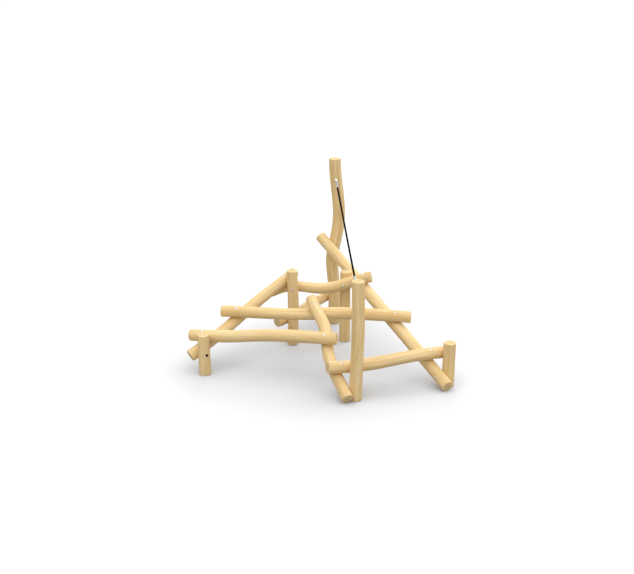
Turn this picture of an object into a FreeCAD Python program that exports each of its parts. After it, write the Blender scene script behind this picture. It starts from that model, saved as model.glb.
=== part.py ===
import FreeCAD, Part
import math
import os

# Natural-log climbing frame: six round posts that stand on the ground, eight
# slanted and level logs bolted across them, and a taut hand rope.
# Millimetres, +Z up, X to the right along the long level log, Y towards the back.
# The ground is Z = 0 and the origin lies under the middle of the frame.

os.makedirs("parts", exist_ok=True)
doc = FreeCAD.newDocument("log_climbing_frame")
V = FreeCAD.Vector

# ---------------------------------------------------------------- dimensions
sheet = doc.addObject("Spreadsheet::Sheet", "Sizes")
sheet.Label = "Sizes"
row = 0


def size(alias, value):
    """One driving dimension: a plain number in the sheet with a word as alias."""
    global row
    row += 1
    sheet.set("A%d" % row, alias)
    sheet.set("B%d" % row, "%.4f" % value)
    sheet.setAlias("B%d" % row, alias)
    return alias


size("end_chamfer", 8.0)            # broken edge of every sawn end
size("shank_radius", 6.0)           # M12 through bolts
size("shank_hole_radius", 6.4)
size("head_radius", 13.0)           # domed bolt head
size("head_height", 7.5)
size("recess_radius", 15.5)         # spot-faced recess around head, washer and nut
size("washer_radius", 14.5)
size("washer_height", 2.5)
size("nut_hex_radius", 12.2)        # cap nut, corner radius of the hexagon
size("nut_hex_height", 10.0)
size("nut_dome_radius", 9.6)
size("nut_thread_depth", 9.5)
size("rope_radius", 10.0)           # 20 mm rope
size("sleeve_radius", 13.0)         # pressed sleeve on each end of the rope
size("sleeve_length", 108.0)
size("sleeve_bore_depth", 80.0)
size("ring_radius", 13.5)           # centre line of both linked rings
size("ring_wire", 4.0)
size("eye_shank_radius", 6.0)
size("eye_shank_depth", 72.0)
size("eye_collar_radius", 19.0)
size("eye_collar_height", 7.0)
size("screw_depth", 78.0)           # wood screw of the rear log, length inside the post

# Each round timber is given by stations along its centre line: x, y, z and radius.
TIMBER = {
    "log_left_slanted": [
        (-1322.3, -486.7, 175.0, 62.5),
        (-1191.9, -406.3, 247.5, 61.1),
        (-1068.6, -313.3, 317.4, 60.5),
        (-951.5, -211.7, 386.0, 60.9),
        (-839.3, -104.8, 454.9, 61.0),
        (-728.3, 4.0, 522.8, 61.8),
        (-614.6, 111.3, 588.3, 61.5),
        (-497.6, 216.1, 652.5, 60.0),
        (-377.5, 316.4, 717.7, 58.4),
        (-255.2, 408.0, 791.1, 54.1),
    ],
    "log_left_level": [
        (-1323.0, -348.9, 353.1, 60.9),
        (-1164.2, -421.1, 374.2, 61.6),
        (-1003.1, -488.2, 395.3, 62.7),
        (-839.8, -548.6, 418.7, 62.4),
        (-672.4, -594.8, 445.7, 61.9),
        (-503.2, -637.6, 466.2, 62.2),
        (-333.0, -679.1, 479.5, 63.4),
        (-162.4, -721.0, 487.1, 63.2),
        (7.8, -764.4, 492.5, 61.8),
        (177.3, -810.2, 499.5, 61.0),
    ],
    "log_long_level": [
        (-1020.0, -152.9, 543.3, 60.8),
        (-856.3, -173.1, 544.1, 60.4),
        (-692.6, -193.0, 542.3, 60.1),
        (-528.7, -212.1, 540.4, 60.1),
        (-364.8, -230.0, 539.9, 60.0),
        (-200.7, -246.7, 542.0, 60.1),
        (-36.6, -260.5, 551.9, 61.6),
        (127.3, -273.6, 564.1, 63.2),
        (291.4, -289.8, 569.4, 63.7),
        (455.2, -308.8, 568.6, 63.2),
        (618.8, -329.8, 565.5, 62.1),
        (782.2, -352.0, 563.0, 60.9),
        (945.3, -376.3, 559.2, 60.2),
    ],
    "log_upper_wavy": [
        (-524.1, 384.2, 557.8, 56.3),
        (-373.6, 371.5, 619.8, 55.8),
        (-212.6, 351.0, 637.2, 56.1),
        (-53.2, 314.3, 632.1, 59.1),
        (104.8, 274.9, 647.3, 61.0),
        (258.0, 243.0, 695.0, 60.6),
        (408.0, 217.8, 755.9, 60.8),
        (563.1, 196.3, 803.0, 60.7),
    ],
    "log_rear_short": [
        (-453.4, 211.3, 269.5, 55.2),
        (-343.8, 334.0, 275.3, 55.3),
        (-241.8, 462.9, 285.1, 55.4),
        (-151.0, 599.8, 295.7, 55.5),
        (-63.1, 739.0, 299.1, 55.6),
        (27.1, 876.7, 295.5, 55.7),
        (107.8, 1020.1, 290.2, 55.8),
        (213.2, 1145.1, 276.7, 55.9),
        (353.2, 1225.6, 251.2, 56.0),
    ],
    "log_right_slanted": [
        (19.0, 898.1, 1045.0, 59.7),
        (128.5, 779.0, 945.0, 59.8),
        (232.3, 645.9, 857.3, 59.6),
        (330.7, 502.8, 779.4, 59.8),
        (424.0, 352.6, 709.2, 62.0),
        (513.1, 197.8, 643.7, 64.4),
        (600.2, 40.1, 582.2, 64.6),
        (686.4, -119.2, 523.6, 63.4),
        (773.1, -278.6, 466.5, 62.6),
        (865.7, -430.7, 399.3, 62.8),
        (961.1, -578.1, 326.1, 63.0),
        (1060.0, -719.4, 245.6, 62.1),
        (1163.8, -851.0, 155.6, 61.4),
        (1273.5, -967.6, 53.0, 60.8),
    ],
    "log_front_curved": [
        (-79.3, -216.9, 709.5, 57.4),
        (-31.5, -349.9, 635.7, 58.5),
        (33.0, -475.0, 559.6, 60.8),
        (73.1, -605.1, 476.3, 61.6),
        (85.5, -737.7, 387.6, 60.3),
        (108.5, -868.6, 298.7, 60.3),
        (157.9, -995.1, 214.3, 59.5),
        (219.5, -1119.1, 134.1, 59.6),
        (276.1, -1247.0, 56.4, 58.9),
    ],
    "log_right_level": [
        (81.2, -1094.3, 317.8, 60.1),
        (232.0, -1043.1, 301.7, 60.8),
        (387.8, -1006.0, 301.8, 63.1),
        (545.0, -977.3, 313.5, 63.5),
        (700.9, -943.9, 329.9, 61.8),
        (854.5, -900.0, 341.8, 59.9),
        (1003.8, -842.3, 342.7, 59.4),
        (1145.9, -769.3, 330.9, 60.4),
        (1278.2, -682.7, 305.6, 61.2),
    ],
    "post_front_left": [
        (-1168.8, -540.2, 0.0, 61.7),
        (-1171.6, -540.2, 216.8, 61.0),
        (-1174.2, -540.2, 433.7, 58.3),
    ],
    "post_front_centre": [
        (355.6, -1141.1, -0.0, 60.8),
        (358.0, -1141.1, 174.4, 62.1),
        (362.7, -1141.1, 348.8, 62.6),
        (367.3, -1141.1, 523.1, 62.3),
        (370.7, -1141.1, 697.5, 63.0),
        (371.5, -1141.1, 872.0, 62.2),
        (368.5, -1141.1, 1046.4, 61.1),
        (365.3, -1141.1, 1220.8, 60.9),
    ],
    "post_right": [
        (1289.8, -819.0, 0.0, 61.6),
        (1291.6, -819.0, 232.3, 61.8),
        (1293.3, -819.0, 464.5, 62.5),
    ],
    "post_mid_left": [
        (-284.8, 251.7, 0.0, 57.9),
        (-279.5, 251.7, 170.8, 57.3),
        (-276.4, 251.7, 341.6, 58.4),
        (-277.0, 251.7, 512.4, 59.5),
        (-282.1, 251.7, 683.2, 58.5),
        (-288.6, 251.7, 853.9, 57.7),
    ],
    "post_rear_tall": [
        (175.4, 900.5, -0.0, 67.5),
        (180.4, 900.5, 162.1, 67.0),
        (180.3, 900.5, 324.2, 66.7),
        (172.7, 900.6, 486.2, 67.9),
        (158.5, 900.5, 647.7, 69.7),
        (155.9, 900.6, 809.7, 71.1),
        (183.1, 900.6, 969.5, 69.9),
        (213.0, 900.5, 1128.8, 68.9),
        (226.5, 900.5, 1290.3, 68.4),
        (220.2, 900.5, 1452.3, 69.1),
        (203.1, 900.5, 1613.5, 68.6),
        (185.1, 900.5, 1774.7, 67.5),
        (177.6, 900.5, 1936.6, 66.6),
    ],
    "post_rear_centre": [
        (287.8, 352.8, 0.0, 60.5),
        (288.7, 352.8, 404.6, 58.3),
        (289.6, 352.8, 809.3, 57.1),
    ],
}

# Flat seats sawn where two timbers meet: the timber, the corner of the block that is
# cut away, its two horizontal directions and its length, width and depth.
SEATS = [
    ("log_left_slanted", (-1177.6, -442.2, 300.1), (0.73232, 0.54021, 0.41459), (-0.62769, 0.77156, 0.10340), 86.4, 60.8, 24.2),
    ("log_left_slanted", (-861.5, -190.2, 469.7), (0.65417, 0.63813, 0.40602), (-0.75429, 0.59000, 0.28801), 86.4, 58.8, 23.3),
    ("log_left_slanted", (-394.2, 343.7, 663.5), (0.71804, 0.56642, 0.40445), (0.66686, -0.72628, -0.16677), 70.8, 43.8, 18.4),
    ("log_left_slanted", (-332.9, 281.8, 696.5), (0.71998, 0.55835, 0.41215), (-0.34162, -0.23180, 0.91081), 69.2, 52.5, 21.3),
    ("log_left_level", (-1194.4, -352.2, 328.7), (0.91004, -0.39733, 0.11811), (-0.31956, -0.85397, -0.41064), 86.0, 61.1, 24.2),
    ("log_left_level", (44.6, -715.7, 463.4), (0.96547, -0.25799, 0.03619), (-0.18849, -0.78768, -0.58654), 71.1, 56.3, 22.3),
    ("log_left_level", (-1179.6, -477.6, 346.9), (0.91378, -0.38842, 0.11886), (-0.11129, 0.04203, 0.99290), 67.1, 55.3, 21.8),
    ("log_long_level", (-895.3, -114.8, 510.6), (0.99250, -0.12213, -0.00584), (-0.10881, -0.86046, -0.49777), 86.8, 58.5, 23.3),
    ("log_long_level", (752.1, -300.9, 520.9), (0.99007, -0.13964, -0.01616), (-0.13420, -0.90469, -0.40438), 75.3, 50.3, 20.2),
    ("log_long_level", (-59.6, -306.0, 592.2), (0.99392, -0.07800, 0.07769), (0.02434, 0.84391, 0.53593), 41.9, 34.8, 16.1),
    ("log_upper_wavy", (-389.9, 331.5, 659.2), (0.97979, -0.09514, 0.17593), (0.01704, 0.91612, 0.40055), 72.2, 43.1, 18.4),
    ("log_upper_wavy", (407.0, 275.3, 722.5), (0.92864, -0.13599, 0.34515), (0.07934, -0.83606, -0.54288), 82.8, 59.8, 23.8),
    ("log_upper_wavy", (-300.2, 311.2, 609.6), (0.98792, -0.13981, 0.06688), (-0.06689, 0.00461, 0.99775), 59.3, 47.7, 19.9),
    ("log_upper_wavy", (246.1, 304.6, 709.7), (0.91628, -0.16859, 0.36334), (0.35726, -0.06619, -0.93166), 55.2, 44.2, 18.4),
    ("log_rear_short", (-339.9, 261.4, 244.3), (0.65414, 0.75496, 0.04634), (-0.02073, -0.04334, 0.99885), 70.0, 55.6, 23.0),
    ("log_right_slanted", (745.9, -309.5, 516.8), (0.47876, -0.81141, -0.33527), (0.87695, 0.42377, 0.22668), 74.3, 50.8, 20.2),
    ("log_right_slanted", (404.3, 270.6, 718.0), (0.46746, -0.81431, -0.34407), (0.80632, 0.23321, 0.54356), 81.2, 60.8, 23.8),
    ("log_right_slanted", (1068.8, -762.3, 293.8), (0.53751, -0.71046, -0.45423), (0.79152, 0.61086, -0.01880), 47.1, 39.8, 17.2),
    ("log_right_slanted", (1236.2, -845.7, 158.6), (0.57451, -0.62554, -0.52787), (-0.36186, 0.38437, -0.84931), 72.9, 51.5, 20.6),
    ("log_right_slanted", (124.9, 873.1, 1010.5), (0.57088, -0.64365, -0.50971), (-0.45819, 0.26539, -0.84831), 84.4, 58.9, 23.6),
    ("log_right_slanted", (321.4, 407.2, 727.1), (0.48743, -0.79277, -0.36597), (0.19346, -0.31066, 0.93062), 48.0, 39.4, 17.1),
    ("log_front_curved", (43.9, -716.0, 463.1), (0.06126, -0.82730, -0.55842), (0.98179, -0.05085, 0.18304), 71.6, 56.0, 22.3),
    ("log_front_curved", (-30.8, -271.2, 617.9), (0.37481, -0.80479, -0.46025), (-0.92086, -0.26568, -0.28535), 43.0, 34.1, 16.1),
    ("log_front_curved", (137.8, -1016.1, 272.7), (0.37246, -0.77525, -0.51016), (0.90344, 0.42864, 0.00821), 66.5, 53.2, 21.4),
    ("log_front_curved", (296.2, -1148.0, 130.0), (0.35603, -0.79872, -0.48506), (-0.21151, 0.43672, -0.87438), 71.0, 51.0, 20.6),
    ("log_right_level", (1068.7, -762.4, 293.8), (0.87225, 0.47940, -0.09673), (0.39320, -0.80503, -0.44421), 47.7, 39.4, 17.2),
    ("log_right_level", (136.9, -1018.0, 271.9), (0.95163, 0.29819, -0.07405), (0.22210, -0.83416, -0.50482), 66.1, 53.5, 21.4),
    ("log_right_level", (1236.0, -783.8, 301.5), (0.82027, 0.54713, -0.16676), (0.14108, 0.08901, 0.98599), 48.5, 40.2, 17.3),
    ("post_front_left", (-1176.6, -478.9, 343.8), (-0.01233, 0.00000, 0.99992), (0.92045, -0.39069, 0.01135), 68.6, 54.3, 21.8),
    ("post_front_centre", (313.6, -1188.7, 55.4), (0.01487, -0.00019, 0.99989), (-0.41385, 0.91032, 0.00633), 69.9, 51.6, 20.6),
    ("post_right", (1265.1, -877.6, 81.0), (0.00753, 0.00000, 0.99997), (-0.67893, 0.73419, 0.00512), 72.7, 51.7, 20.6),
    ("post_right", (1241.7, -780.0, 293.4), (0.00753, 0.00000, 0.99997), (0.83228, 0.55432, -0.00627), 48.2, 40.5, 17.3),
    ("post_mid_left", (-336.6, 279.1, 699.4), (-0.03946, -0.00001, 0.99922), (0.79594, 0.60456, 0.03144), 69.1, 52.6, 21.3),
    ("post_mid_left", (-295.6, 310.5, 605.6), (-0.03454, 0.00003, 0.99940), (0.98958, -0.13989, 0.03421), 57.8, 48.7, 19.9),
    ("post_mid_left", (-336.7, 265.2, 239.8), (0.01691, 0.00014, 0.99986), (0.65425, 0.75620, -0.01117), 68.5, 56.7, 23.0),
    ("post_rear_tall", (149.6, 831.9, 921.1), (0.20652, -0.00054, 0.97844), (-0.70228, 0.69622, 0.14861), 78.2, 62.9, 23.6),
    ("post_rear_centre", (300.6, 294.6, 670.8), (0.00228, 0.00000, 1.00000), (-0.98346, 0.18112, 0.00225), 56.5, 43.4, 18.4),
    ("post_rear_centre", (326.7, 398.5, 712.0), (0.00228, 0.00000, 1.00000), (0.52441, -0.85146, -0.00120), 49.3, 38.5, 17.1),
]

# Bolted joints: head-side timber, nut-side timber, centre of the head's seat, centre of
# the nut's seat. The bolt runs from one seat to the other.
JOINTS = [
    ("log_left_level", "log_left_slanted", (-1205.8, -424.8, 420.6), (-1142.0, -368.6, 229.2), "A"),
    ("log_left_level", "log_front_curved", (48.2, -806.9, 538.9), (92.9, -695.4, 366.3), "A"),
    ("log_long_level", "log_left_slanted", (-858.2, -199.5, 590.5), (-851.0, -96.4, 409.4), "A"),
    ("log_long_level", "log_right_slanted", (781.1, -376.7, 610.8), (785.2, -277.6, 419.1), "A"),
    ("log_front_curved", "log_long_level", (-47.1, -352.2, 693.2), (-33.9, -236.8, 515.4), "A"),
    ("log_right_level", "log_front_curved", (218.9, -1073.1, 349.3), (150.1, -991.2, 170.5), "A"),
    ("log_right_level", "log_right_slanted", (1110.8, -814.3, 384.3), (1074.2, -731.6, 187.5), "A"),
    ("log_upper_wavy", "post_rear_centre", (259.9, 188.2, 700.0), (296.3, 391.6, 697.5), "A"),
    ("log_upper_wavy", "log_right_slanted", (473.8, 187.2, 829.9), (482.4, 272.9, 625.2), "A"),
    ("log_left_slanted", "log_upper_wavy", (-381.7, 300.7, 766.9), (-336.1, 384.7, 592.8), "A"),
    ("post_mid_left", "log_upper_wavy", (-286.8, 200.3, 642.9), (-262.6, 397.1, 633.7), "A"),
    ("log_right_slanted", "post_rear_tall", (68.3, 769.3, 972.5), (214.2, 940.0, 953.1), "A"),
    ("log_right_slanted", "post_right", (1147.4, -914.0, 130.2), (1327.2, -794.8, 127.1), "A"),
    ("post_front_left", "log_left_slanted", (-1161.0, -555.8, 223.6), (-1265.2, -402.8, 219.2), "B"),
    ("log_front_curved", "post_front_centre", (196.4, -1191.6, 98.9), (398.1, -1128.0, 99.3), "A"),
    ("log_rear_short", "post_rear_tall", (32.5, 981.3, 292.4), (198.4, 891.0, 294.7), "S"),
    ("log_rear_short", "post_mid_left", (-390.3, 349.5, 275.0), (-262.2, 238.6, 272.8), "S"),
]

# Centres of the two rings that the rope's ends are linked to, and the axis points of the
# posts that the two eye screws go into.
EYE_TOP = (194.2, 797.5, 1701.0)
EYE_BOTTOM = (352.5, -1046.2, 1137.0)
POST_AXIS_TOP = (192.1, 900.5, 1701.0)
POST_AXIS_BOTTOM = (367.2, -1141.1, 1137.0)

POST_RADIUS_TOP = 68.0
POST_RADIUS_BOTTOM = 60.9



def frame(z, hint):
    """Rotation whose Z axis is z and whose X axis is as near as possible to hint."""
    z = V(*z) if isinstance(z, tuple) else V(z)
    z.normalize()
    x = hint - z * hint.dot(z)
    x.normalize()
    y = z.cross(x)
    return FreeCAD.Rotation(x, y, z, "ZXY")


def bind(obj, prop, expr):
    obj.setExpression(prop, expr)
    return obj


def cylinder(name, radius, height, base, rot):
    obj = doc.addObject("Part::Cylinder", name)
    bind(obj, "Radius", radius)
    if isinstance(height, str):
        bind(obj, "Height", height)
    else:
        obj.Height = height
    obj.Placement = FreeCAD.Placement(base, rot)
    return obj


def fuse(name, shapes):
    obj = doc.addObject("Part::MultiFuse", name)
    obj.Shapes = shapes
    return obj


def cut(name, base, tool):
    obj = doc.addObject("Part::Cut", name)
    obj.Base = base
    obj.Tool = tool
    return obj


results = []


def finish(obj, label):
    obj.Label = label
    results.append(obj)
    return obj


# ---------------------------------------------------------------- sheet rows of the timbers
for timber, stations in TIMBER.items():
    for i, (x, y, z, r) in enumerate(stations):
        size("%s_x_%d" % (timber, i), x)
        size("%s_y_%d" % (timber, i), y)
        size("%s_z_%d" % (timber, i), z)
        size("%s_rad_%d" % (timber, i), r)
for i, joint in enumerate(JOINTS):
    fa, fb = V(*joint[2]), V(*joint[3])
    size("grip_%d" % i, (fa - fb).Length)
doc.recompute()


def tangents(stations):
    pts = [V(*s[:3]) for s in stations]
    out = []
    for i in range(len(pts)):
        a, b = pts[max(i - 1, 0)], pts[min(i + 1, len(pts) - 1)]
        if 0 < i < len(pts) - 1:
            l1, l2 = (pts[i] - a).Length, (b - pts[i]).Length
            d = (pts[i] - a) * (l2 / l1) + (b - pts[i]) * (l1 / l2)
        elif i == 0:
            c = pts[2]
            d = (b - pts[0]) * 2.0 - (c - pts[0]) * 0.5
        else:
            c = pts[-3]
            d = (pts[-1] - a) * 2.0 - (pts[-1] - c) * 0.5
        d.normalize()
        out.append(d)
    return out


def timber_body(timber, stations):
    """Loft through one circle per station, square to the centre line, with chamfered ends."""
    upright = timber.startswith("post")
    tans = [V(0, 0, 1)] * len(stations) if upright else tangents(stations)
    hint = V(1, 0, 0) if upright else tans[0].cross(V(0, 0, 1)).cross(tans[0])
    circles = []
    for i, (x, y, z, r) in enumerate(stations):
        c = doc.addObject("Part::Circle", "%s_ring_%d" % (timber, i))
        rot = frame(tans[i], hint)
        c.Placement = FreeCAD.Placement(V(x, y, z), rot)
        bind(c, "Radius", "Sizes.%s_rad_%d" % (timber, i))
        for axis in "xyz":
            bind(c, "Placement.Base.%s" % axis, "Sizes.%s_%s_%d" % (timber, axis, i))
        hint = rot.multVec(V(1, 0, 0))
        circles.append(c)
    loft = doc.addObject("Part::Loft", timber + "_round")
    loft.Sections = circles
    loft.Solid = True
    loft.Ruled = False
    doc.recompute()
    ends = []
    for i, e in enumerate(loft.Shape.Edges):
        if len(e.Vertexes) == 1 and e.isClosed():
            ends.append(i + 1)
    ch = doc.addObject("Part::Chamfer", timber + "_sawn")
    ch.Base = loft
    c = float(sheet.get("end_chamfer"))
    ch.Edges = [(i, c, c) for i in ends]
    return ch


tools = {timber: [] for timber in TIMBER}

for k, (timber, corner, xd, yd, length, width, depth) in enumerate(SEATS):
    block = doc.addObject("Part::Box", "seat_%d" % k)
    block.Length, block.Width, block.Height = length, width, depth
    zd = V(*xd).cross(V(*yd))
    block.Placement = FreeCAD.Placement(V(*corner), FreeCAD.Rotation(V(*xd), V(*yd), zd, "ZXY"))
    tools[timber].append(block)

washers_head, washers_nut, cap_nuts = [], [], []


def washer(name, seat, rot):
    disc = cylinder(name + "_disc", "Sizes.washer_radius", "Sizes.washer_height", seat, rot)
    hole = cylinder(name + "_hole", "Sizes.shank_hole_radius", "Sizes.washer_height", seat, rot)
    return cut(name, disc, hole)


for i, (head_side, nut_side, fa, fb, kind) in enumerate(JOINTS):
    fa, fb = V(*fa), V(*fb)
    axis = fa - fb
    grip = axis.Length
    out = frame(axis, V(0.3, 0.2, 1.0))            # Z points out of the head
    back = frame(-axis, V(0.3, 0.2, 1.0))          # Z points out of the nut
    axis.normalize()
    ht = float(sheet.get("washer_height"))
    # clearance hole and the two recesses
    for timber, tag in ((head_side, "a"), (nut_side, "b")):
        if kind == "S" and tag == "b":
            continue
        tools[timber].append(cylinder("hole_%d%s" % (i, tag), "Sizes.shank_hole_radius", grip + 60.0, fb - axis * 30.0, out))
    tools[head_side].append(cylinder("recess_%da" % i, "Sizes.recess_radius", 90.0, fa, out))
    if kind == "S":
        # wood screw: pilot hole that ends inside the post
        shank = cylinder("shank_%d" % i, "Sizes.shank_radius", "Sizes.grip_%d + Sizes.washer_height" % i, fb, out)
        tools[nut_side].append(cylinder("hole_%db" % i, "Sizes.shank_radius", grip, fb, out))
    else:
        tools[nut_side].append(cylinder("recess_%db" % i, "Sizes.recess_radius", 90.0, fb, back))
        shank = cylinder("shank_%d" % i, "Sizes.shank_radius",
                         "Sizes.grip_%d + 2 * Sizes.washer_height + Sizes.nut_thread_depth" % i,
                         fb - axis * (ht + float(sheet.get("nut_thread_depth"))), out)
    # domed head: the cap of a ball
    hr, hh = float(sheet.get("head_radius")), float(sheet.get("head_height"))
    ball = (hr * hr + hh * hh) / (2.0 * hh)
    dome = doc.addObject("Part::Sphere", "dome_%d" % i)
    bind(dome, "Radius", "(Sizes.head_radius ^ 2 + Sizes.head_height ^ 2) / (2 * Sizes.head_height)")
    dome.Angle1 = math.degrees(math.asin((ball - hh) / ball))
    dome.Placement = FreeCAD.Placement(fa + axis * (ht - (ball - hh)), out)
    bolt = fuse("bolt_%d" % i, [dome, shank])
    finish(bolt, "bolt_%s_to_%s" % (head_side, nut_side) if kind != "S" else "screw_%s_to_%s" % (head_side, nut_side))
    washers_head.append(washer("washer_%da" % i, fa, out))
    if kind != "S":
        washers_nut.append(washer("washer_%db" % i, fb, back))
        seat = fb - axis * ht
        hexa = doc.addObject("Part::Prism", "nut_hex_%d" % i)
        hexa.Polygon = 6
        bind(hexa, "Circumradius", "Sizes.nut_hex_radius")
        bind(hexa, "Height", "Sizes.nut_hex_height")
        hexa.Placement = FreeCAD.Placement(seat, back)
        cap = doc.addObject("Part::Sphere", "nut_cap_%d" % i)
        bind(cap, "Radius", "Sizes.nut_dome_radius")
        cap.Angle1 = 0.0
        cap.Placement = FreeCAD.Placement(seat - axis * float(sheet.get("nut_hex_height")) * 0.8, back)
        bore = cylinder("nut_bore_%d" % i, "Sizes.shank_radius", "Sizes.nut_thread_depth", seat, back)
        cap_nuts.append(cut("cap_nut_%d" % i, fuse("nut_solid_%d" % i, [hexa, cap]), bore))

# ---------------------------------------------------------------- rope and its fittings
et, eb = V(*EYE_TOP), V(*EYE_BOTTOM)
run = eb - et
run.normalize()
side = run.cross(V(0, 0, 1))
side.normalize()


def eye_screw(name, eye, centre, radius):
    """Ring, neck and collar outside the post, shank screwed into it."""
    outwards = V(eye.x - centre.x, eye.y - centre.y, 0)
    reach = outwards.Length
    outwards.normalize()
    face = V(centre.x, centre.y, eye.z) + outwards * radius
    into = frame(-outwards, V(0, 0, 1))
    outw = frame(outwards, V(0, 0, 1))
    normal = outwards.cross(V(0, 0, 1))
    ring = doc.addObject("Part::Torus", name + "_ring")
    bind(ring, "Radius1", "Sizes.ring_radius")
    bind(ring, "Radius2", "Sizes.ring_wire")
    ring.Placement = FreeCAD.Placement(eye, frame(normal, V(0, 0, 1)))
    rr = float(sheet.get("ring_radius"))
    neck = cylinder(name + "_neck", "Sizes.eye_shank_radius", (eye - face).Length - rr + 0.5, face - outwards * 0.5, outw)
    collar = cylinder(name + "_collar", "Sizes.eye_collar_radius", "Sizes.eye_collar_height - 1", face - outwards * 4.0, outw)
    dome = doc.addObject("Part::Cone", name + "_dome")
    bind(dome, "Radius1", "Sizes.eye_collar_radius")
    bind(dome, "Radius2", "Sizes.eye_collar_radius - 8")
    bind(dome, "Height", "Sizes.eye_collar_height")
    dome.Placement = FreeCAD.Placement(face + outwards * 1.5, outw)
    shank = cylinder(name + "_shank", "Sizes.eye_shank_radius", "Sizes.eye_shank_depth", face, into)
    tip = cylinder(name + "_pilot", "Sizes.eye_shank_radius", "Sizes.eye_shank_depth", face, into)
    seat = cylinder(name + "_seat", "Sizes.eye_collar_radius", 40.0, face - outwards * 4.0, outw)
    return fuse(name, [ring, neck, collar, dome, shank]), fuse(name + "_socket", [tip, seat])


def rope_end(name, eye, along):
    """Ring linked to the eye screw's ring, short neck and a long pressed sleeve."""
    rr, wire = float(sheet.get("ring_radius")), float(sheet.get("ring_wire"))
    centre = eye + along * (2 * rr - 2 * wire - 0.1)
    ring = doc.addObject("Part::Torus", name + "_ring")
    bind(ring, "Radius1", "Sizes.ring_radius")
    bind(ring, "Radius2", "Sizes.ring_wire")
    normal = along.cross(side)
    ring.Placement = FreeCAD.Placement(centre, frame(normal, side))
    rot = frame(along, side)
    start = centre + along * (rr + wire - 1.5)
    sleeve = cylinder(name + "_sleeve", "Sizes.sleeve_radius", "Sizes.sleeve_length", start, rot)
    neck = cylinder(name + "_neck", "Sizes.eye_shank_radius", 8.0, centre + along * (rr - 1.0), rot)
    depth = float(sheet.get("sleeve_bore_depth"))
    length = float(sheet.get("sleeve_length"))
    bore = cylinder(name + "_bore", "Sizes.rope_radius", "Sizes.sleeve_bore_depth + 1", start + along * (length - depth), rot)
    solid = fuse(name + "_solid", [ring, neck, sleeve])
    return cut(name, solid, bore), start + along * (length - depth)


eye_top, socket_top = eye_screw("eye_screw_top", et, V(*POST_AXIS_TOP), POST_RADIUS_TOP)
eye_bottom, socket_bottom = eye_screw("eye_screw_bottom", eb, V(*POST_AXIS_BOTTOM), POST_RADIUS_BOTTOM)
tools["post_rear_tall"].append(socket_top)
tools["post_front_centre"].append(socket_bottom)
end_top, rope_start = rope_end("rope_end_top", et, run)
end_bottom, rope_stop = rope_end("rope_end_bottom", eb, -run)
size("rope_run", (rope_stop - rope_start).Length)
doc.recompute()
rope = cylinder("hand_rope", "Sizes.rope_radius", "Sizes.rope_run", rope_start, frame(run, side))
finish(rope, "hand_rope")
finish(eye_top, "eye_screw_top")
finish(eye_bottom, "eye_screw_bottom")
finish(end_top, "rope_end_top")
finish(end_bottom, "rope_end_bottom")
print("rope from", tuple(round(v, 2) for v in rope_start), "to", tuple(round(v, 2) for v in rope_stop),
      "straight length %.1f, no arcs" % (rope_stop - rope_start).Length)

# ---------------------------------------------------------------- timbers with their joints cut
for timber, stations in TIMBER.items():
    body = timber_body(timber, stations)
    finish(cut(timber, body, fuse(timber + "_cuts", tools[timber])), timber)

# ---------------------------------------------------------------- groups of identical fasteners
for label, members in (("washers_head", washers_head), ("washers_nut", washers_nut), ("cap_nuts", cap_nuts)):
    group = doc.addObject("Part::Compound", label)
    group.Links = members
    finish(group, label)

doc.recompute()

bad = [o.Name for o in doc.Objects if any(s in ("Invalid", "Error") for s in o.State)]
if bad:
    raise RuntimeError("objects in error: %s" % ", ".join(bad))
box = None
for obj in results:
    shape = obj.Shape
    if shape.isNull() or not shape.isValid():
        raise RuntimeError("bad shape: " + obj.Label)
    if not shape.Solids:
        raise RuntimeError("no solid: " + obj.Label)
    shape.exportStep(os.path.join("parts", obj.Label + ".step"))
    bb = shape.BoundBox
    box = FreeCAD.BoundBox(bb) if box is None else box.united(bb)
    print("%-48s %2d solid(s) %8.0f cm3  z %.1f..%.1f" % (obj.Label, len(shape.Solids), shape.Volume / 1000.0, bb.ZMin, bb.ZMax))
print("overall", box)
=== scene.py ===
import math

import bmesh
import bpy
import numpy as np
from mathutils import Matrix, Vector
from mathutils import noise as mnoise


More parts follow.
